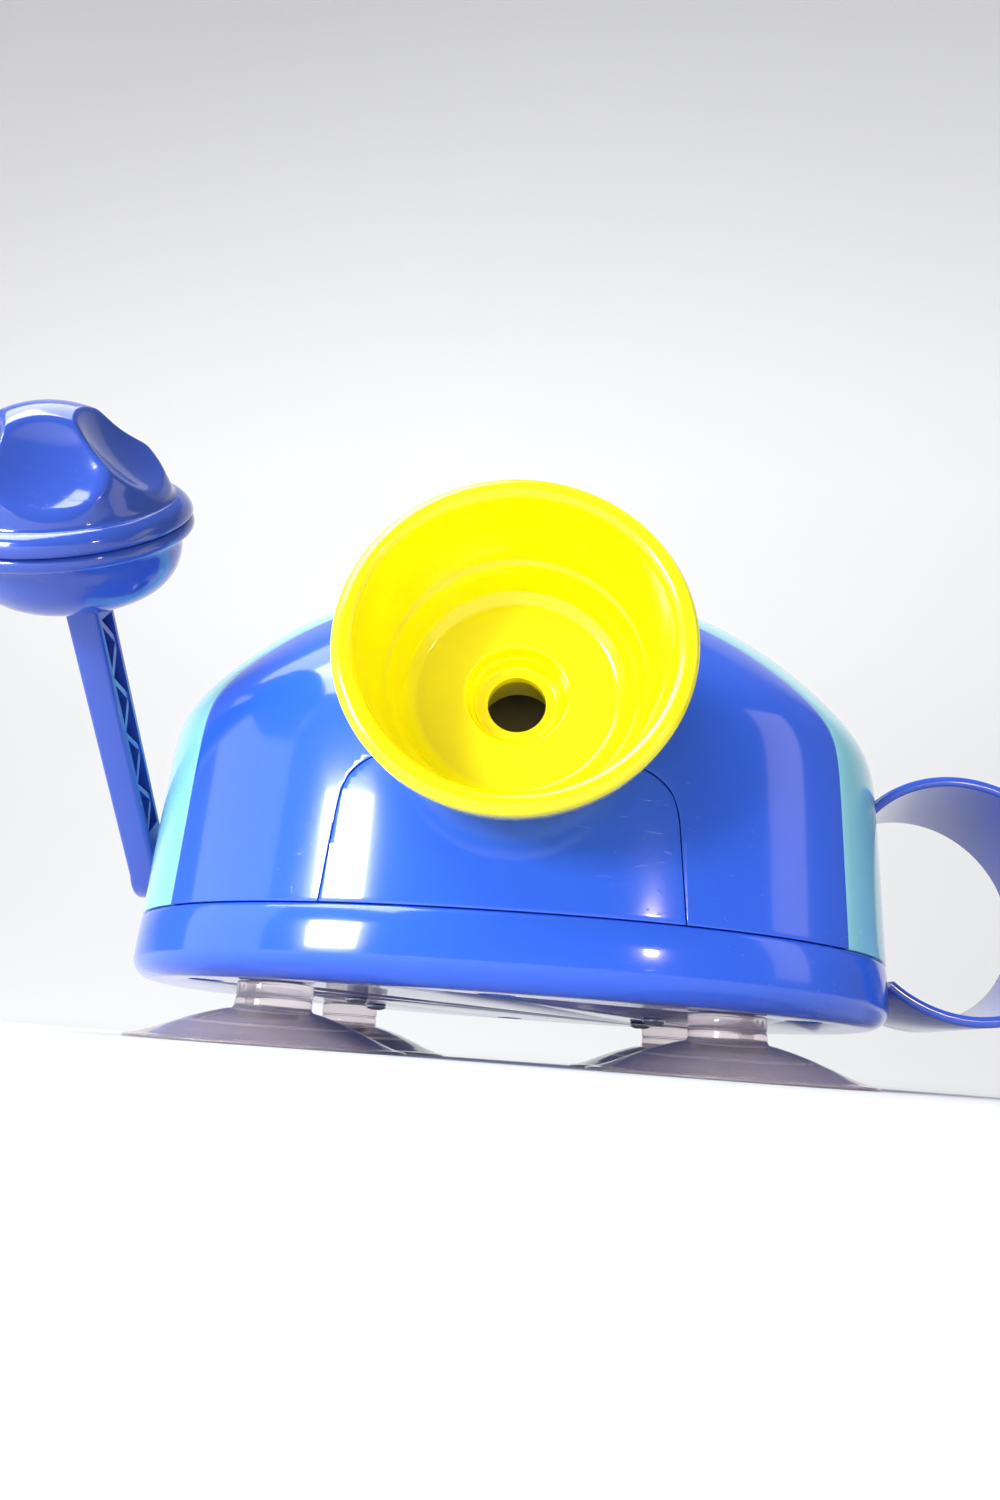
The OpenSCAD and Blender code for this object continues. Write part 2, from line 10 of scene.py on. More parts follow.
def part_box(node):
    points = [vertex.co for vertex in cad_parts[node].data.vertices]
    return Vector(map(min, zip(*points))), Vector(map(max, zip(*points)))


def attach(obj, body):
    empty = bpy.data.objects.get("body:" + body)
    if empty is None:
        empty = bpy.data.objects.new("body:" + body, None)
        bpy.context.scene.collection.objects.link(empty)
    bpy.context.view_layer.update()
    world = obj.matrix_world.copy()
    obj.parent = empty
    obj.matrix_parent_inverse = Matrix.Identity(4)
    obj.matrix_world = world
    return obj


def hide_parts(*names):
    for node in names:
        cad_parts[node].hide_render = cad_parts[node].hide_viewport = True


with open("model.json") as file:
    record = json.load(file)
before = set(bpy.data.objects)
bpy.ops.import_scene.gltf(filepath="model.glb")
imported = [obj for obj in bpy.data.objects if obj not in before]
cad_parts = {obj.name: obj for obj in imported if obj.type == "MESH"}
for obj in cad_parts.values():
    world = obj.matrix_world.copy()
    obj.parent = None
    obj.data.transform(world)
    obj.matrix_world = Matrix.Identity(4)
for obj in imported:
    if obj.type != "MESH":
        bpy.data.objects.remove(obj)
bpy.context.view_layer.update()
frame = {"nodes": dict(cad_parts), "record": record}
MM = 0.001

# ---- places and sizes, taken from the frame ----------------------------------

mid_lo, mid_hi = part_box("mid_shell")
tray_lo, tray_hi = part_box("base_tray")
rear_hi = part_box("rear_shell")[1]
funnel_lo, funnel_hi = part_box("funnel")
arm_lo, arm_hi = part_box("lever_arm")
strap_lo, strap_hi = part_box("handle_strap")
mouth_lo, mouth_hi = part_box("tape_mouth")
knob_lo, knob_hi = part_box("knob_top")

CX = (mid_lo[0] + mid_hi[0]) / 2
CY = (mid_lo[1] + mid_hi[1]) / 2
CASE_A = (mid_hi[0] - mid_lo[0]) / 2
CASE_B = rear_hi[1] - CY
CASE_TOP = mid_hi[2]
SEAM_Z = mid_lo[2]
BASE_Z = tray_lo[2]
TRAY_A = (tray_hi[0] - tray_lo[0]) / 2
TRAY_B = (tray_hi[1] - tray_lo[1]) / 2
MID_HALF = (mid_hi[1] - mid_lo[1]) / 2
WALL = 2.2 * MM
SEAM_GAP = 0.1 * MM          # room at the seams between the case's pieces
PLAN_N = 2.2                 # squareness of the case's outline from above
ROOF_FALL = 38.9 * MM        # depth below the top at which the roof is as wide as the case
ROOF_POWER = 0.343           # how the roof widens with depth below the top
SHOULDER_POWER = 40          # sharpness of the shoulder between roof and side
SHOULDER_Z = 45 * MM         # middle of the sections' polar grid

FUNNEL_Z = (funnel_lo[2] + funnel_hi[2]) / 2
SLEEVE_R = 25.8 * MM         # outside of the funnel where it enters the case
joints = {joint["name"]: joint for joint in frame["record"]["behaviour"]["joints"]}
HINGE = Vector(joints["lever_swing"]["pos_m"])
LEAN = math.radians(50)
LEVER = Matrix.Translation((0, HINGE.y, HINGE.z)) @ Matrix.Rotation(LEAN, 4, "X")
LEVER_LEN = 83.2             # from the hinge to the knob's seam, in mm
ARM_LEN = 70.2               # from the hinge to the arm's end, in mm
HUB_R = 7.4
ARM_EDGE = -7.0              # the arm's rear side, from the hinge's axis, in mm
ARM_W = 7.5
SHAFT_R = 3.5
KNOB_R = (knob_hi[0] - knob_lo[0]) / 2 / MM
KNOB_X = (knob_hi[0] + knob_lo[0]) / 2
KNOB_OFF = 3.25              # from the knob's axis back to the hinge's, across the arm, in mm
KNOB = LEVER @ Matrix.Translation((KNOB_X, -KNOB_OFF * MM, LEVER_LEN * MM))
BEAD_R = 3.4                 # bead around the knob's seam, in mm
WELD = 0.002 * MM            # points closer than this are one point


# ---- mesh helpers ------------------------------------------------------------

def new_object(name, points, faces):
    """A mesh object from points and faces, with outward normals."""
    mesh = bpy.data.meshes.new(name)
    mesh.from_pydata([tuple(p) for p in points], [], faces)
    obj = bpy.data.objects.new(name, mesh)
    bpy.context.scene.collection.objects.link(obj)
    clean(obj)
    return obj


def clean(obj):
    """Joins doubled points, drops flat faces and turns all faces outward."""
    bm = bmesh.new()
    bm.from_mesh(obj.data)
    bmesh.ops.remove_doubles(bm, verts=bm.verts, dist=WELD)
    bmesh.ops.dissolve_degenerate(bm, edges=bm.edges, dist=WELD / 2)
    bmesh.ops.recalc_face_normals(bm, faces=bm.faces)
    bm.to_mesh(obj.data)
    bm.free()


def grid_faces(rows, cols, wrap=False):
    """Quads of a grid of rows by cols points; wrap joins the last column to the first."""
    last = cols if wrap else cols - 1
    return [(r * cols + c, r * cols + (c + 1) % cols, (r + 1) * cols + (c + 1) % cols, (r + 1) * cols + c)
            for r in range(rows - 1) for c in range(last)]


def loft(name, rings, cap_start=False, cap_end=False):
    """A skin through closed rings of points, with flat caps where asked."""
    cols = len(rings[0])
    faces = grid_faces(len(rings), cols, wrap=True)
    if cap_start:
        faces.append(tuple(range(cols - 1, -1, -1)))
    if cap_end:
        start = (len(rings) - 1) * cols
        faces.append(tuple(range(start, start + cols)))
    return new_object(name, [p for ring in rings for p in ring], faces)


def arc(cx, cy, r, a0, a1, steps):
    """Points of a flat arc; the angles are in degrees."""
    angles = [math.radians(a0 + (a1 - a0) * i / steps) for i in range(steps + 1)]
    return [(cx + r * math.cos(a), cy + r * math.sin(a)) for a in angles]


def soften(points, r, steps=4, closed=True):
    """Rounds the corners of an outline: each corner is cut back by up to r, as a smooth curve."""
    out = []
    count = len(points)
    for i, p in enumerate(points):
        if not closed and i in (0, count - 1):
            out.append(p)
            continue
        corner, before, after = Vector(p), Vector(points[i - 1]), Vector(points[(i + 1) % count])
        start = corner + (before - corner).normalized() * min(r, 0.45 * (before - corner).length)
        end = corner + (after - corner).normalized() * min(r, 0.45 * (after - corner).length)
        for k in range(steps + 1):
            t = k / steps
            out.append(tuple(start * (1 - t) ** 2 + corner * 2 * t * (1 - t) + end * t * t))
    return out


def revolve(name, profile, place, steps=128, closed=True):
    """Turns a profile of (radius, height) in mm about the Z axis of the matrix place."""
    rings = []
    for r, h in profile:
        ring = []
        for k in range(steps):
            a = 2 * math.pi * k / steps
            ring.append(place @ Vector((r * MM * math.cos(a), r * MM * math.sin(a), h * MM)))
        rings.append(ring)
    if closed:
        rings.append(rings[0])
    return loft(name, rings)


def modifier(obj, kind, **values):
    """Adds a modifier with its settings."""
    m = obj.modifiers.new(kind.lower(), kind)
    for key, value in values.items():
        setattr(m, key, value)
    return m


def bake(obj):
    """Turns the object's modifiers into its mesh."""
    graph = bpy.context.evaluated_depsgraph_get()
    mesh = bpy.data.meshes.new_from_object(obj.evaluated_get(graph))
    obj.modifiers.clear()
    obj.data = mesh


def cut(obj, cutter, operation="DIFFERENCE"):
    """Cuts obj by another object, which is then removed."""
    modifier(obj, "BOOLEAN", object=cutter, operation=operation, solver="EXACT")
    bake(obj)
    bpy.data.objects.remove(cutter)


def finish_edges(obj, width=0.35, segments=3, angle=35):
    """Rounds the sharp edges by width mm and shades the rest smooth."""
    modifier(obj, "BEVEL", width=width * MM, segments=segments, limit_method="ANGLE",
             angle_limit=math.radians(angle), use_clamp_overlap=True, miter_outer="MITER_ARC")
    bake(obj)
    smooth(obj)


def smooth(obj, angle=40):
    """Shades smooth, except across edges sharper than the angle."""
    for polygon in obj.data.polygons:
        polygon.use_smooth = True
    obj.data.set_sharp_from_angle(angle=math.radians(angle))


def cylinder(name, start, end, r, steps=96):
    """A capped cylinder between two points, radius in metres."""
    start, end = Vector(start), Vector(end)
    turn = (end - start).to_track_quat("Z", "Y").to_matrix()
    angles = [2 * math.pi * k / steps for k in range(steps)]
    circle = [Vector((math.cos(a), math.sin(a), 0)) * r for a in angles]
    return loft(name, [[start + turn @ p for p in circle], [end + turn @ p for p in circle]], True, True)


def box(name, place, lo, hi):
    """A box between two corners given in mm in the frame of the matrix place."""
    corners = [(lo[0], lo[1]), (hi[0], lo[1]), (hi[0], hi[1]), (lo[0], hi[1])]
    rings = [[place @ (Vector((x, y, z)) * MM) for x, y in corners] for z in (lo[2], hi[2])]
    return loft(name, rings, True, True)


def prism(name, outline, y0, y1):
    """An outline of (x, z) points in metres, swept from y0 to y1."""
    return loft(name, [[(x, y0, z) for x, z in outline], [(x, y1, z) for x, z in outline]], True, True)


def middle_of(node):
    """The middle of a node's box."""
    lo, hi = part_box(node)
    return [(a + b) / 2 for a, b in zip(lo, hi)]


def add_piece(obj, body, slot, *nodes):
    """Gives a finished piece its material, ties it to its body and hides the nodes it stands for."""
    obj.data.materials.clear()
    obj.data.materials.append(LOOKS[slot])
    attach(obj, body)
    if nodes:
        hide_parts(*nodes)
    return obj


# ---- materials ---------------------------------------------------------------

def linear(r, g, b):
    """A colour given as 0 to 255, in linear light."""
    def one(v):
        v /= 255
        return v / 12.92 if v <= 0.04045 else ((v + 0.055) / 1.055) ** 2.4
    return (one(r), one(g), one(b), 1)


class Nodes:
    """A short way to add and link shader nodes."""

    def __init__(self, name):
        self.material = bpy.data.materials.new(name)
        self.material.use_nodes = True
        self.tree = self.material.node_tree
        self.bsdf = self.tree.nodes["Principled BSDF"]
        self.coords = self.tree.nodes.new("ShaderNodeTexCoord").outputs["Object"]

    def add(self, kind, inputs=None, **values):
        node = self.tree.nodes.new("ShaderNode" + kind)
        for key, value in values.items():
            setattr(node, key, value)
        for key, value in (inputs or {}).items():
            if isinstance(value, bpy.types.NodeSocket):
                self.tree.links.new(value, node.inputs[key])
            else:
                node.inputs[key].default_value = value
        return node

    def noise(self, scale, detail=3, roughness=0.5, vector=None):
        """Noise from 0 to 1; scale is in waves per metre."""
        return self.add("TexNoise", {"Vector": vector or self.coords, "Scale": scale, "Detail": detail,
                                     "Roughness": roughness}).outputs["Fac"]

    def spread(self, value, low, high, to_low=0.0, to_high=1.0):
        """Maps a value from one range to another, and keeps it within that range."""
        return self.add("MapRange", {"Value": value, "From Min": low, "From Max": high,
                                     "To Min": to_low, "To Max": to_high}).outputs["Result"]

    def mix(self, factor, a, b):
        node = self.add("Mix", data_type="RGBA")
        for socket, value in ((node.inputs[0], factor), (node.inputs[6], a), (node.inputs[7], b)):
            if isinstance(value, bpy.types.NodeSocket):
                self.tree.links.new(value, socket)
            else:
                socket.default_value = value
        return node.outputs[2]

    def math(self, operation, a, b):
        return self.add("Math", {0: a, 1: b}, operation=operation).outputs[0]

    def stretch(self, scale, rotation=(0, 0, 0)):
        """Coordinates squeezed and turned, for streaks along one direction."""
        return self.add("Mapping", {"Vector": self.coords, "Scale": scale,
                                    "Rotation": rotation}).outputs["Vector"]

    def bump(self, height, strength, distance, under=None):
        """A bump on top of the bump under it."""
        inputs = {"Height": height, "Strength": strength, "Distance": distance}
        if under is not None:
            inputs["Normal"] = under
        return self.add("Bump", inputs).outputs["Normal"]

    def link(self, value, socket):
        self.tree.links.new(value, self.bsdf.inputs[socket])

    def set(self, **values):
        for key, value in values.items():
            self.bsdf.inputs[key.replace("_", " ")].default_value = value


def shade(color, factor):
    """A colour made lighter or darker."""
    return tuple(c * factor for c in color[:3]) + (1,)


def gloss_plastic(name, color, rough=0.12, wear=1.0, coat=0.5):
    """Moulded gloss plastic: cloudy colour, faint flow waves, fine scratches and dust."""
    n = Nodes(name)
    cloud = n.noise(14, 4, 0.55)
    base = n.mix(n.spread(cloud, 0.35, 0.65), shade(color, 0.93), shade(color, 1.06))
    dust = n.spread(n.noise(2600, 2, 0.6), 0.70, 0.78, 0.0, 0.10 * wear)
    pale = tuple(min(1, c * 0.5 + 0.42) for c in color[:3]) + (1,)
    n.link(n.mix(dust, base, pale), "Base Color")
    scratch_a = n.noise(1500, 2, 0.5, n.stretch((0.05, 1, 1), (0.3, 0.9, 0.2)))
    scratch_b = n.noise(1200, 2, 0.5, n.stretch((1, 0.06, 1), (0.8, 0.1, 1.1)))
    scratches = n.math("MAXIMUM", n.spread(scratch_a, 0.66, 0.74), n.spread(scratch_b, 0.67, 0.75))
    patch = n.spread(n.noise(22, 2), 0.48, 0.62)
    marks = n.math("MULTIPLY", scratches, patch)
    haze = n.spread(n.noise(30, 5, 0.6), 0.3, 0.75, rough * 0.85, rough * 1.5)
    n.link(n.math("ADD", haze, n.math("MULTIPLY", marks, 0.16 * wear)), "Roughness")
    waves = n.bump(n.noise(26, 2, 0.4), 0.12, 0.3 * MM)
    peel = n.bump(n.noise(700, 2, 0.5), 0.05, 0.05 * MM, waves)
    n.link(n.bump(marks, 0.25 * wear, 0.04 * MM, peel), "Normal")
    n.set(Coat_Weight=coat, Coat_Roughness=0.05, IOR=1.5)
    return n.material


def matte_plastic(name, color):
    """Satin moulded plastic with a fine grain."""
    n = Nodes(name)
    cloud = n.spread(n.noise(40, 4), 0.3, 0.7)
    n.link(n.mix(cloud, shade(color, 0.93), shade(color, 1.04)), "Base Color")
    n.link(n.spread(n.noise(180, 3), 0.3, 0.7, 0.38, 0.52), "Roughness")
    n.link(n.bump(n.noise(1800, 2), 0.15, 0.05 * MM), "Normal")
    return n.material


def clear_vinyl(name):
    """Soft clear vinyl with a smoky pink cast, hazy and a little dusty."""
    n = Nodes(name)
    tint = n.spread(n.noise(60, 4), 0.3, 0.7)
    n.link(n.mix(tint, linear(253, 243, 244), linear(242, 228, 230)), "Base Color")
    n.link(n.spread(n.noise(240, 4, 0.6), 0.3, 0.75, 0.06, 0.22), "Roughness")
    n.link(n.bump(n.noise(160, 3), 0.2, 0.06 * MM), "Normal")
    n.set(Transmission_Weight=0.86, IOR=1.3, Coat_Weight=0.2, Coat_Roughness=0.08)
    return n.material


def steel(name):
    """Drawn steel with fine lines."""
    n = Nodes(name)
    lines = n.noise(500, 3, 0.6, n.stretch((0.04, 1, 1)))
    n.link(n.mix(lines, linear(160, 162, 166), linear(206, 208, 212)), "Base Color")
    n.link(n.spread(lines, 0.3, 0.7, 0.22, 0.38), "Roughness")
    n.link(n.bump(lines, 0.2, 0.01 * MM), "Normal")
    n.set(Metallic=1.0)
    return n.material


def rubber(name):
    """Black rubber with fine ribs across the roller."""
    n = Nodes(name)
    n.link(n.mix(n.noise(300, 3), linear(34, 34, 36), linear(58, 57, 58)), "Base Color")
    ribs = n.add("TexWave", {"Vector": n.coords, "Scale": 260, "Distortion": 0.4}, bands_direction="X")
    n.link(n.bump(ribs.outputs["Fac"], 0.4, 0.15 * MM), "Normal")
    n.set(Roughness=0.7)
    return n.material


def core_board(name):
    """Brown wound board with fibres."""
    n = Nodes(name)
    fibres = n.noise(900, 4, 0.7, n.stretch((1, 0.3, 0.3)))
    n.link(n.mix(fibres, linear(150, 116, 78), linear(196, 160, 118)), "Base Color")
    n.link(n.bump(fibres, 0.3, 0.05 * MM), "Normal")
    n.set(Roughness=0.85)
    return n.material


def tape_film(name):
    """Wound clear film: fine rings on the roll's sides, an amber gloss on its edge."""
    n = Nodes(name)
    shift = [-v for v in middle_of("tape_roll")]
    place = n.add("Mapping", {"Vector": n.coords, "Location": shift, "Scale": (0, 1, 1)})
    rings = n.add("TexWave", {"Vector": place.outputs["Vector"], "Scale": 420, "Distortion": 0.6,
                              "Detail": 2.0}, wave_type="RINGS", rings_direction="SPHERICAL")
    n.link(n.mix(rings.outputs["Fac"], linear(214, 196, 148), linear(242, 232, 200)), "Base Color")
    n.link(n.bump(rings.outputs["Fac"], 0.25, 0.03 * MM), "Normal")
    n.link(n.spread(n.noise(120, 3), 0.3, 0.7, 0.16, 0.3), "Roughness")
    n.set(Coat_Weight=0.4, Coat_Roughness=0.1)
    return n.material


LOOKS = {
    "blue_plastic": gloss_plastic("blue_plastic", linear(46, 98, 226)),
    "violet_plastic": gloss_plastic("violet_plastic", linear(50, 82, 182)),
    "cyan_plastic": gloss_plastic("cyan_plastic", linear(142, 216, 230), rough=0.14),
    "yellow_plastic": gloss_plastic("yellow_plastic", linear(255, 244, 8), rough=0.14, wear=0.6),
    "white_plastic": matte_plastic("white_plastic", linear(228, 228, 224)),
    "clear_vinyl": clear_vinyl("clear_vinyl"),
    "steel": steel("steel"),
    "black_rubber": rubber("black_rubber"),
    "core_board": core_board("core_board"),
    "tape_film": tape_film("tape_film"),
}

for part in frame["record"]["subparts"]:
    node = frame["nodes"][part["node"]]
    for material_slot in node.material_slots:
        material_slot.material = LOOKS[part["material_slot"]]


# ---- the domed case ----------------------------------------------------------

def level_scale(z):
    """How wide the case is at height z, as a share of its full width."""
    drop = max(CASE_TOP - z, 1e-7)
    return (1 + (ROOF_FALL / drop) ** (ROOF_POWER * SHOULDER_POWER)) ** (-1 / SHOULDER_POWER)


def level_of(scale):
    """The height at which the case is this share of its full width."""
    return CASE_TOP - ROOF_FALL / (scale ** -SHOULDER_POWER - 1) ** (1 / (ROOF_POWER * SHOULDER_POWER))


def plan_scale(x, y):
    """The share of the full outline that passes through a point, seen from above."""
    return (abs(x / CASE_A) ** PLAN_N + abs(y / CASE_B) ** PLAN_N) ** (1 / PLAN_N)


def case_point(angle, z):
    """A point of the case's outside; angle is from -Y towards +X."""
    x, y = math.sin(angle), math.cos(angle)
    r = level_scale(z) / plan_scale(x, y)
    return Vector((CX + r * x, CY - r * y, z))


def section_point(angle, y):
    """A point of the case's cross-section at y, about the height SHOULDER_Z; angle is from +X up."""
    low, high = 0.0, 2 * CASE_A
    for _ in range(50):
        r = (low + high) / 2
        z = SHOULDER_Z + r * math.sin(angle)
        inside = z < CASE_TOP and plan_scale(r * math.cos(angle), y) < level_scale(z)
        low, high = (r, high) if inside else (low, r)
    return Vector((CX + low * math.cos(angle), CY + y, SHOULDER_Z + low * math.sin(angle)))


def thicken(obj):
    """Gives a sheet the case's wall, inward."""
    modifier(obj, "SOLIDIFY", thickness=WALL, offset=-1, use_even_offset=True)
    bake(obj)
    clean(obj)


def make_mid_sheet():
    """The case's middle band, over the top from side to side."""
    low_steps = 10
    arc_steps = 180
    rows = 40
    points = []
    for i in range(rows + 1):
        y = -MID_HALF + 2 * MID_HALF * i / rows
        right, left = section_point(0, y), section_point(math.pi, y)
        drops = [SEAM_Z + (SHOULDER_Z - SEAM_Z) * k / low_steps for k in range(low_steps)]
        points += [Vector((right.x, right.y, z)) for z in drops]
        points += [section_point(math.pi * k / arc_steps, y) for k in range(arc_steps + 1)]
        points += [Vector((left.x, left.y, z)) for z in reversed(drops)]
    return new_object("mid_case", points, grid_faces(rows + 1, 2 * low_steps + arc_steps + 1))


def cap_levels(top, count):
    """Heights from the seam to top, evenly spaced along the front's profile."""
    steps = 600
    fine = [SEAM_Z + (top - SEAM_Z) * math.sin(math.pi / 2 * k / steps) for k in range(steps + 1)]
    lengths = [0.0]
    for low, high in zip(fine, fine[1:]):
        inward = CASE_B * (level_scale(high) - level_scale(low))
        lengths.append(lengths[-1] + math.hypot(high - low, inward))
    levels = []
    at = 0
    for k in range(count + 1):
        while at < steps and lengths[at] < lengths[-1] * k / count:
            at += 1
        levels.append(fine[at])
    return levels


def make_end_sheet(name, side):
    """The front (side 1) or rear (side -1) cap of the case, cut off at the middle band."""
    edge = MID_HALF + SEAM_GAP
    cols = 110
    rows = 70
    points = []
    levels = cap_levels(level_of(edge / CASE_B), rows)
    for z in levels:
        s = level_scale(z)
        reach = CASE_A * s * max(0.0, 1 - (edge / (CASE_B * s)) ** PLAN_N) ** (1 / PLAN_N)
        widest = math.atan2(reach, edge)
        for k in range(cols + 1):
            p = case_point(widest * (2 * k / cols - 1), z)
            if side < 0:
                p.y = 2 * CY - p.y
            points.append(p)
    return new_object(name, points, grid_faces(len(levels), cols + 1))


def panel_outline(grow):
    """Front view of the panel below the funnel, as in the frame, made larger by grow."""
    top_from = 46
    corners = [(31.8, 10), (29.4, 42.5), (28.0, 46.5), (24.0, 49.6), (18.0, 50.6)]
    half = soften(corners, 3, 4, closed=False)
    right = [(CX + x * MM + grow, z * MM + (grow if z > top_from else 0)) for x, z in half]
    left = [(2 * CX - x, z) for x, z in reversed(right)]
    return right + left


def make_middle():
    """The middle band, with a hole at the left for the lever's bush."""
    bush_hole_r = 6.05 * MM
    mid = make_mid_sheet()
    thicken(mid)
    side = HINGE.copy()
    side.x = CX - 0.1
    cut(mid, cylinder("cutter", side, side + Vector((0.04, 0, 0)), bush_hole_r))
    finish_edges(mid)
    add_piece(mid, "case", "cyan_plastic", "mid_shell")


def make_front():
    """The front shell and, cut from the same sheet, the panel below the funnel."""
    far = CY - 0.09
    near = CY - 0.043
    half_gap = 0.12 * MM
    throat_r = SLEEVE_R + 0.15 * MM
    throat = cylinder("cutter", (CX, CY - 0.1, FUNNEL_Z), (CX, CY - 0.037, FUNNEL_Z), throat_r)
    panel = make_end_sheet("front_door", 1)
    thicken(panel)
    cut(panel, prism("cutter", panel_outline(-half_gap), far, near), "INTERSECT")
    front = make_end_sheet("front_case", 1)
    thicken(front)
    cut(front, prism("cutter", panel_outline(half_gap), far, near))
    for obj in (panel, front):
        modifier(obj, "BOOLEAN", object=throat, operation="DIFFERENCE", solver="EXACT")
        bake(obj)
        finish_edges(obj, 0.3)
    bpy.data.objects.remove(throat)
    add_piece(panel, "case", "blue_plastic", "front_panel")
    add_piece(front, "case", "blue_plastic", "front_shell")


def make_rear():
    """The rear shell, with an opening for the tape's mouth."""
    rear = make_end_sheet("rear_case", -1)
    thicken(rear)
    left, right = mouth_lo[0] - SEAM_GAP, mouth_hi[0] + SEAM_GAP
    low, high = mouth_lo[2] - SEAM_GAP, mouth_hi[2] + SEAM_GAP
    slot = [(left, low), (right, low), (right, high), (left, high)]
    cut(rear, prism("cutter", slot, CY + 0.03, CY + 0.1))
    finish_edges(rear)
    add_piece(rear, "case", "blue_plastic", "rear_shell")


def plan_ring(a, b, z, steps=192):
    """One level of the tray: the case's outline from above with half-widths a and b."""
    ring = []
    for k in range(steps):
        angle = 2 * math.pi * k / steps
        x, y = math.cos(angle), math.sin(angle)
        r = (abs(x / a) ** PLAN_N + abs(y / b) ** PLAN_N) ** (-1 / PLAN_N)
        ring.append(Vector((CX + r * x, CY + r * y, z)))
    return ring


SIDES = (-1, 1)
SCREW_PLACES = [(s * 56, t * 31) for s in SIDES for t in SIDES] + [(0, -46), (0, 46)]
FRAME_SCREW_PLACES = [(s * 32, y) for s in SIDES for y in (-4, 22)]
CUPS = [f"suction_cup_{end}_{side}" for end in ("front", "rear") for side in ("left", "right")]
WELL_R = 3.3                 # screw wells in the tray, in mm
WELL_DEPTH = 2
SEAT_R = 4.7                 # holes for the suction cups' heads, in mm
SEAT_DEPTH = 5


def make_tray():
    """The tray: rounded lower edge, flush seam, flat underside with screw wells and cup seats."""
    round_r = 4.5
    outline = [(7.0, 0.0)]
    outline += [(round_r - x, round_r - y) for x, y in arc(0, 0, round_r, 90, 0, 10)]
    outline += [(0, 8.0), (0.1, 11.6), (0.45, 12.4), (0.9, 12.62)]
    outline += [(1.9, 12.62), (2.4, 12.2), (2.6, 6.0), (3.4, 3.4), (5.5, 2.5)]
    rings = [plan_ring(TRAY_A - d * MM, TRAY_B - d * MM, BASE_Z + z * MM) for d, z in outline]
    tray = loft("base_case", rings, True, True)
    holes = [(CX + x * MM, CY + y * MM, WELL_DEPTH, WELL_R) for x, y in SCREW_PLACES]
    holes += [(*middle_of(name)[:2], SEAT_DEPTH, SEAT_R) for name in CUPS]
    for x, y, depth, r in holes:
        cut(tray, cylinder("cutter", (x, y, BASE_Z - 1 * MM), (x, y, BASE_Z + depth * MM), r * MM, 48))
    finish_edges(tray, 0.25)
    add_piece(tray, "case", "blue_plastic", "base_tray")


def make_screw(name, place, head_r, head_t, shank_r, length):
    """A domed screw with a cross recess; it points along the +Z axis of place from its head."""
    point = length + 0.6
    head = [(0, -head_t * 0.35), (head_r * 0.5, -head_t * 0.3), (head_r * 0.9, 0)]
    head += [(head_r, head_t * 0.3), (head_r, head_t)]
    shank = [(shank_r, head_t), (shank_r, length), (shank_r * 0.4, point), (0, point)]
    obj = revolve(name, soften(head + shank, 0.3, 2, closed=False), place, 40, closed=False)
    arm = head_r * 0.62
    half = 0.28
    deep = head_t * 0.55
    cross = box("cutter", place, (-arm, -half, -1), (arm, half, deep))
    cut(cross, box("cutter", place, (-half, -arm, -1), (half, arm, deep)), "UNION")
    cut(obj, cross)
    smooth(obj)
    return obj


def join(objs, name):
    """Joins meshes into one object."""
    bm = bmesh.new()
    for obj in objs:
        bm.from_mesh(obj.data)
        bpy.data.objects.remove(obj)
    mesh = bpy.data.meshes.new(name)
    bm.to_mesh(mesh)
    bm.free()
    joined = bpy.data.objects.new(name, mesh)
    bpy.context.scene.collection.objects.link(joined)
    return joined


def screw_group(name, places, height, sizes):
    """Screws at the same height above the tray's underside, each turned its own way."""
    screws = []
    for x, y in places:
        spot = Matrix.Translation((CX + x * MM, CY + y * MM, BASE_Z + height * MM))
        screws.append(make_screw("screw", spot @ Matrix.Rotation(math.radians(17 * x), 4, "Z"), *sizes))
    return join(screws, name)


def make_screws():
    """The shell screws in their wells and the mechanism's four screws."""
    shell = screw_group("case_screws", SCREW_PLACES, 0.6, (2.9, 1.4, 1.15, 14))
    add_piece(shell, "case", "steel", "base_screws")
    inner = screw_group("mechanism_screws", FRAME_SCREW_PLACES, -1.0, (2.4, 1.0, 0.95, 7))
    add_piece(inner, "case", "steel", "frame_screws")


# ---- funnel and suction cups -------------------------------------------------

def make_funnel():
    """The yellow cup: thick rolled lip, one ridge, a flat floor, a round recess and its hole."""
    place = Matrix.Translation((CX, funnel_lo[1], FUNNEL_Z)) @ Matrix.Rotation(-math.pi / 2, 4, "X")
    lip = arc(27.85, 1.95, 1.95, 180, 340, 12)
    outside = [(29.3, 5.3), (28.6, 6.0), (27.6, 6.4), (26.15, 16.2), (25.8, 17.2), (25.8, 35.0)]
    outside += [(24.0, 35.0), (24.0, 24.0), (21.8, 27.5), (10.5, 27.5)]
    outside += [(10.5, 45.9), (8.0, 45.9), (8.0, 32.9), (5.6, 32.9)]
    inside = [(5.6, 30.9), (7.9, 30.9), (8.3, 28.5), (9.0, 28.1), (9.5, 25.5)]
    inside += [(18.6, 25.5), (20.9, 24.0), (22.0, 19.9), (22.9, 18.1), (24.0, 17.3)]
    profile = lip + soften(outside, 0.5, 3, closed=False) + soften(inside, 0.6, 4, closed=False)
    funnel = revolve("funnel_bowl", profile, place, 192)
    smooth(funnel, 50)
    add_piece(funnel, "case", "yellow_plastic", "funnel")


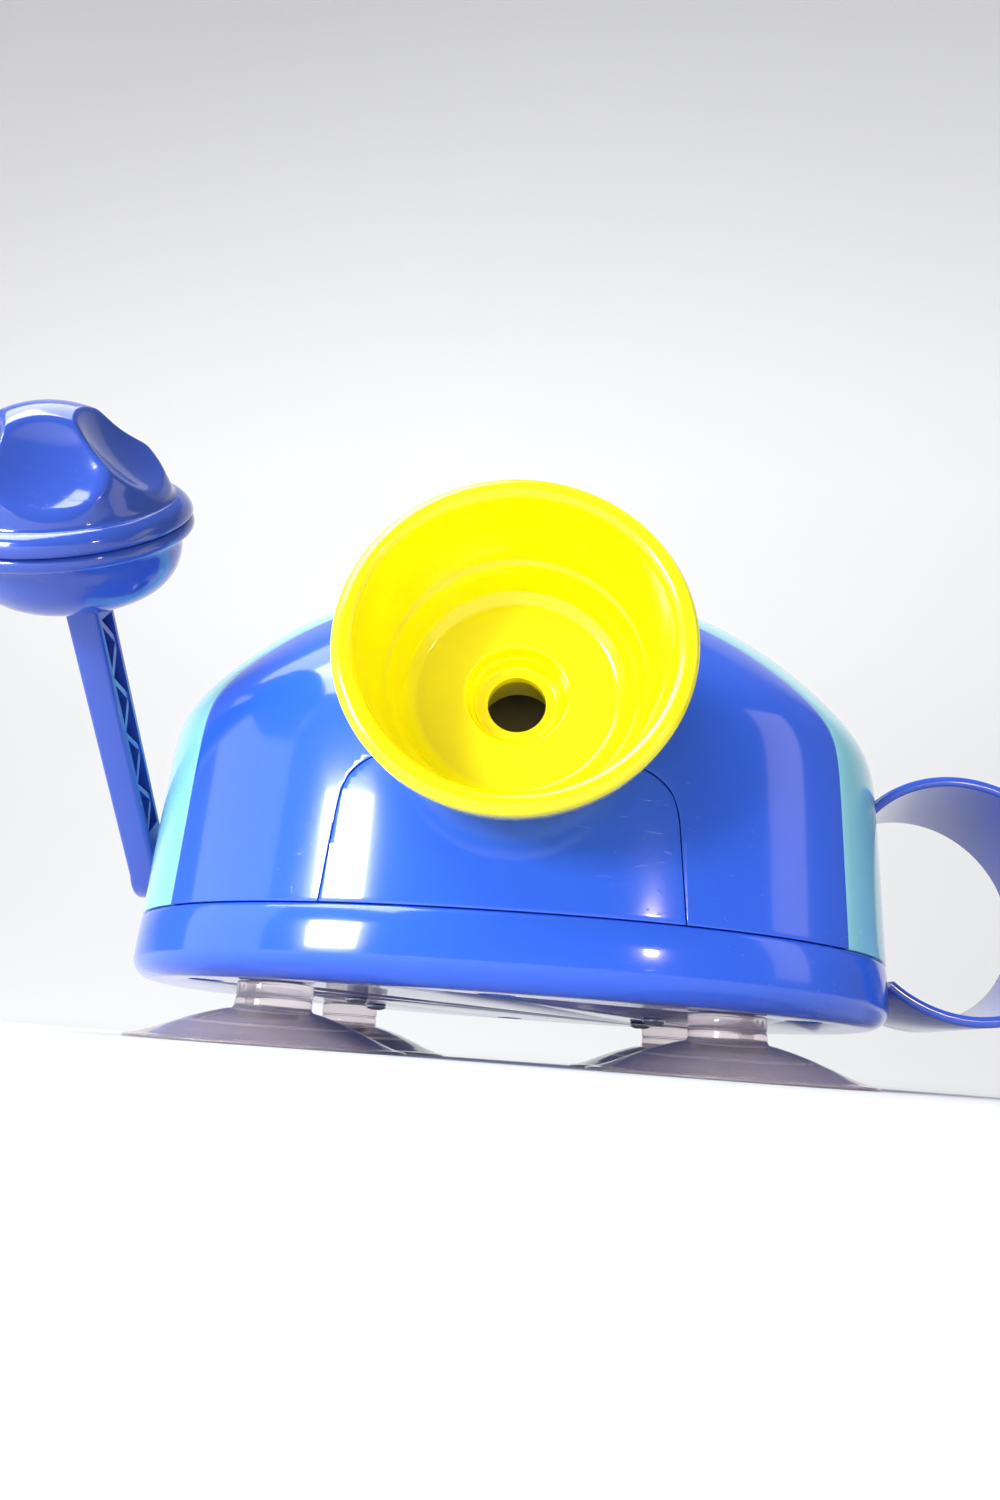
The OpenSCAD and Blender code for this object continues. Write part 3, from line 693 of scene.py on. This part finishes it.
def make_cups():
    """Soft clear cups: thin flared rim with a bead, hollow below, a ringed neck and a button head."""
    rim = [(24.3, 0.0), (24.8, 0.0), (25.0, 0.25), (24.7, 0.55), (23.2, 0.75)]
    flare = [(20.6, 1.6), (17.6, 2.85), (14.2, 4.2), (11.0, 5.25), (8.6, 5.9), (7.3, 6.15)]
    neck = [(6.95, 6.5), (6.95, 8.0), (6.75, 8.15), (6.75, 8.4), (6.95, 8.55), (7.0, 10.9)]
    head = [(4.6, 10.95), (4.5, 13.9), (6.1, 14.1), (6.2, 14.6), (5.6, 15.8), (3.5, 16.2), (0, 16.3)]
    hollow = [(0, 4.6), (3.0, 4.5), (6.5, 4.2), (7.2, 3.6), (11.0, 3.3), (14.4, 2.5), (15.0, 1.9)]
    hollow += [(18.4, 1.3), (20.8, 0.7), (23.0, 0.35)]
    profile = soften(rim + flare + neck + head, 0.5, 3, closed=False)
    profile += soften(hollow, 0.6, 3, closed=False)
    for name in CUPS:
        place = Matrix.Translation((*middle_of(name)[:2], 0))
        cup = revolve(name.replace("suction_", "soft_"), profile, place, 128)
        smooth(cup, 60)
        add_piece(cup, "case", "clear_vinyl", name)


# ---- lever and knob ----------------------------------------------------------

def make_arm():
    """The lever: a bar with a round hub and, on its inner side, a pocket with a zigzag rib."""
    rear, front = [math.degrees(math.acos(edge / HUB_R)) for edge in (ARM_EDGE, ARM_EDGE + ARM_W)]
    outline = [(ARM_EDGE, ARM_LEN)] + arc(0, 0, HUB_R, rear, 360 + front, 40)
    outline.append((ARM_EDGE + ARM_W, ARM_LEN))
    rings = [[LEVER @ Vector((x, v * MM, w * MM)) for v, w in outline] for x in (arm_lo[0], arm_hi[0])]
    arm = loft("lever_bar", rings, True, True)
    modifier(arm, "BEVEL", width=1.1 * MM, segments=4, limit_method="ANGLE", angle_limit=math.radians(60))
    bake(arm)
    rail = 1.5               # rim beside the pocket
    start = 14.0             # start of the pocket, from the hinge
    count = 8                # diagonal ribs of the zigzag
    rise = 6.3               # length of arm that one rib spans
    deep = 3.4
    rib_half = 0.5           # half of a rib's thickness
    rib_reach = 6            # half of a rib's length, run on into the rims
    rib_low = 0.35           # how far the ribs lie below the arm's face
    face = arm_hi[0] / MM
    low = ARM_EDGE + rail
    high = ARM_EDGE + ARM_W - rail
    pocket = box("cutter", LEVER, (face - deep, low, start), (face + 2, high, start + count * rise))
    lean = math.atan2(high - low, rise)
    for i in range(count):
        middle = Vector((0, (low + high) / 2, start + (i + 0.5) * rise)) * MM
        turn = Matrix.Rotation(lean if i % 2 else -lean, 4, "X")
        cut(pocket, box("cutter", LEVER @ Matrix.Translation(middle) @ turn,
                        (face - deep - 1, -rib_half, -rib_reach), (face - rib_low, rib_half, rib_reach)))
    cut(arm, pocket)
    through = Vector((20 * MM, 0, 0))
    cut(arm, cylinder("cutter", HINGE - through, HINGE + through, SHAFT_R * MM, 64))
    finish_edges(arm, 0.22, 2, 50)
    add_piece(arm, "lever", "violet_plastic", "lever_arm")


FLUTES = 5
FLUTE_TURN = -68             # direction of the first flute around the knob, in degrees
FLUTE_BALL = Vector((29.8, 0, 24.0))  # middle of a flute's ball from the dome's, in mm
FLUTE_R = 24
FLUTE_SOFT = 1.2             # how far a flute's edge is rounded over
DOME_Z = 3                   # height of the dome's middle above the seam
DOME_SQUASH = 0.94           # height of the dome as a share of its radius
DOME_FROM = 6                # the dome is fluted above this height


def fluted(point, dome_r):
    """Moves a point of the crown's dome, in mm, in to the flutes' balls, with soft edges."""
    middle = Vector((0, 0, DOME_Z))
    ray = (point - middle).normalized()
    reach = dome_r
    for i in range(FLUTES):
        ball = Matrix.Rotation(math.radians(360 / FLUTES * i + FLUTE_TURN), 3, "Z") @ FLUTE_BALL
        along = ray.dot(ball)
        depth = along ** 2 - ball.length_squared + FLUTE_R ** 2
        if depth > 0 and along > 0:
            hit = along - math.sqrt(depth)
            share = min(1, max(0, 0.5 + 0.5 * (hit - reach) / FLUTE_SOFT))
            reach = hit * (1 - share) + reach * share - FLUTE_SOFT * share * (1 - share)
    ray.z *= DOME_SQUASH
    return middle + ray * reach


def make_knob():
    """The knob: a fluted crown and a bowl that meet at a beaded seam."""
    dome_r = KNOB_R - BEAD_R
    crown = [(10.0, 0.06), (KNOB_R - 0.25, 0.06)]
    crown += arc(dome_r, 0.3, BEAD_R, 4, 78, 12)
    crown += [(KNOB_R - 3.1, 4.3), (KNOB_R - 3.3, 5.2)]
    crown += arc(0, DOME_Z, dome_r, 13, 90, 72)
    crown += [(0, 9.0), (10.0, 9.0)]
    top = revolve("knob_crown", crown, Matrix.Identity(4), 256)
    for vertex in top.data.vertices:
        place = vertex.co / MM
        on_dome = abs((place - Vector((0, 0, DOME_Z))).length - dome_r) < 0.01
        if on_dome and place.z > DOME_FROM:
            vertex.co = fluted(place, dome_r) * MM
    top.data.transform(KNOB)
    smooth(top, 70)
    add_piece(top, "lever", "violet_plastic", "knob_top")

    bowl = [(14.0, -0.06), (KNOB_R - 0.25, -0.06)]
    bowl += arc(KNOB_R - 1.5, -1.5, 1.4, 60, -60, 8)
    bowl += [(KNOB_R - 2.2, -3.0), (KNOB_R - 2.5, -3.6)]
    bowl += arc(KNOB_R - 13, -4.2, 10.2, -2, -78, 24)
    bowl += [(8, -14.5), (0, -14.6), (0, -9.8), (13, -9.8)]
    low = revolve("knob_bowl", bowl, KNOB, 160)
    arm_x = (arm_hi[0] - arm_lo[0]) / 2 / MM
    edge = KNOB_OFF + ARM_EDGE
    cut(low, box("cutter", KNOB, (-arm_x, edge, -20), (arm_x, edge + ARM_W, -13)))
    smooth(low, 45)
    add_piece(low, "lever", "violet_plastic", "knob_bottom")


# ---- handle and tape mouth ---------------------------------------------------

def make_handle():
    """The strap loop: a band with rounded edges, bent round from the shell to the tray."""
    radius = (strap_hi[2] - strap_lo[2]) / 2
    x, y, z = strap_hi[0] - radius, (strap_hi[1] + strap_lo[1]) / 2, (strap_hi[2] + strap_lo[2]) / 2
    half = (strap_hi[1] - strap_lo[1]) / 2
    thick = 2.2 * MM
    section = soften([(-half, 0), (half, 0), (half, -thick), (-half, -thick)], 0.9 * MM, 4)
    tray_end = math.radians(-131)
    shell_end = math.radians(137)
    steps = 120
    rings = []
    for k in range(steps + 1):
        angle = tray_end + (shell_end - tray_end) * k / steps
        rings.append([(x + (radius + d) * math.cos(angle), y + across, z + (radius + d) * math.sin(angle))
                      for across, d in section])
    strap = loft("handle_loop", rings, True, True)
    smooth(strap)
    add_piece(strap, "case", "violet_plastic", "handle_strap")


def make_mouth():
    """The tape's mouth: the frame's own outline with its edges rounded."""
    node = frame["nodes"]["tape_mouth"]
    mouth = bpy.data.objects.new("tape_lip", node.data.copy())
    bpy.context.scene.collection.objects.link(mouth)
    clean(mouth)
    bm = bmesh.new()
    bm.from_mesh(mouth.data)
    bmesh.ops.dissolve_limit(bm, angle_limit=math.radians(1), verts=bm.verts, edges=bm.edges)
    bm.to_mesh(mouth.data)
    bm.free()
    finish_edges(mouth, 0.5, 3, 30)
    add_piece(mouth, "case", "yellow_plastic", "tape_mouth")


make_middle()
make_front()
make_rear()
make_tray()
make_screws()
make_funnel()
make_cups()
make_arm()
make_knob()
make_handle()
make_mouth()


# ---- camera, light and floor -------------------------------------------------

def set_camera():
    """Close wide-angle view from the front, just above the surface, looking up."""
    pitch = math.radians(18.54)
    yaw = math.radians(-3.29)
    roll = math.radians(4.23)
    eye = (CX + 6.73 * MM, CY - 206.94 * MM, 1.2 * MM)
    forward = Vector((math.sin(yaw) * math.cos(pitch), math.cos(yaw) * math.cos(pitch), math.sin(pitch)))
    level = Vector((math.cos(yaw), -math.sin(yaw), 0))
    up = level.cross(forward)
    right = level * math.cos(roll) + up * math.sin(roll)
    up = right.cross(forward)
    camera = bpy.data.objects.new("camera", bpy.data.cameras.new("camera"))
    bpy.context.scene.collection.objects.link(camera)
    turn = Matrix((right, up, -forward)).transposed().to_4x4()
    camera.matrix_world = Matrix.Translation(eye) @ turn
    camera.data.sensor_fit = "VERTICAL"
    camera.data.sensor_height = 24
    camera.data.lens = 14.557
    camera.data.clip_start = 0.0005
    bpy.context.scene.camera = camera


def add_light(name, place, aim, size, power, color=(1, 1, 1)):
    """A rectangular light that faces the point aim; sizes in metres, power in watts."""
    light = bpy.data.lights.new(name, "AREA")
    light.shape = "RECTANGLE"
    light.size, light.size_y = size
    light.energy = power
    light.color = color
    obj = bpy.data.objects.new(name, light)
    obj.location = place
    obj.rotation_euler = (Vector(aim) - Vector(place)).to_track_quat("-Z", "Y").to_euler()
    bpy.context.scene.collection.objects.link(obj)


def grey(level, blue=0.0):
    """A linear grey with a little more blue."""
    return (level, level, level + blue, 1)


def cove_paint_and_glow():
    """Pale paint on the floor with a faint painted glow, and a painted glow on the wall that fades upward
    and to both sides and also lights the object.
    """
    n = Nodes("cove_paint_and_glow")
    split = n.add("SeparateXYZ", {0: n.coords})
    rise = n.spread(split.outputs["Y"], 0.2, 0.6)
    floor_paint = n.mix(n.noise(3, 2), grey(0.55, 0.005), grey(0.59))
    wall_paint = n.mix(n.noise(3, 2), grey(0.42, 0.005), grey(0.46))
    n.link(n.mix(rise, floor_paint, wall_paint), "Base Color")
    low = n.spread(split.outputs["Z"], 0.1, 1.0)
    high = n.spread(split.outputs["Z"], 1.2, 2.3)
    wall = n.mix(low, grey(0.41), grey(0.62))
    wall = n.mix(high, wall, grey(0.46, 0.005))
    # painted light: the floor glows faintly and the wall brighter, dimmer towards the top and both sides
    glow = n.mix(rise, grey(0.08), wall)
    right = n.spread(split.outputs["X"], 1.1, 2.6)
    left = n.spread(split.outputs["X"], -1.3, -2.8)
    glow = n.mix(right, glow, grey(0.02, 0.005))
    n.link(n.mix(left, glow, grey(0.08, 0.01)), "Emission Color")
    n.set(Roughness=0.9, Emission_Strength=1.0)
    return n.material


def make_cove():
    """A pale floor that curves up into a backdrop."""
    front = -1.2
    bend = 0.5
    radius = 0.7
    top = 3.2
    width = 3.0
    profile = [(front, 0.0), (-0.1, 0.0)]
    profile += [(bend + x, radius + z) for x, z in arc(0, 0, radius, -90, 0, 24)]
    profile += [(bend + radius, top)]
    points = [(x, y, z) for x in (-width, width) for y, z in profile]
    cove = new_object("cove", points, grid_faces(2, len(profile)))
    cove.data.materials.append(cove_paint_and_glow())
    for face in cove.data.polygons:
        face.use_smooth = True


def set_stage():
    """Backdrop, a dim even surround and six soft lights."""
    make_cove()
    world = bpy.data.worlds.new("studio")
    bpy.context.scene.world = world
    world.use_nodes = True
    world.node_tree.nodes["Background"].inputs["Color"].default_value = (0.22, 0.22, 0.25, 1)
    bpy.context.scene.view_settings.view_transform = "Standard"

    add_light("window", (-0.43, -0.56, 0.13), (-0.03, -0.05, 0.04), (0.16, 0.17), 3.6, (0.97, 0.985, 1.0))
    add_light("left_key", (-0.65, -0.65, 1.05), (0, 0, 0.05), (0.9, 0.9), 21, (0.94, 0.98, 1.0))
    add_light("left_glow", (-0.95, -0.28, 0.3), (0, 0, 0.05), (0.6, 0.6), 1.4, (0.9, 0.97, 1.0))
    add_light("lamp", (0.36, -0.67, 0.115), (0.02, -0.05, 0.03), (0.04, 0.03), 0.35, (1.0, 0.78, 0.6))
    add_light("ceiling", (-0.45, -0.2, 0.95), (0, 0, 0), (0.8, 0.8), 5)
    add_light("right_fill", (0.7, -0.25, 0.3), (0, 0, 0.05), (0.2, 0.5), 0.4, (1.0, 0.82, 0.86))


set_camera()
set_stage()
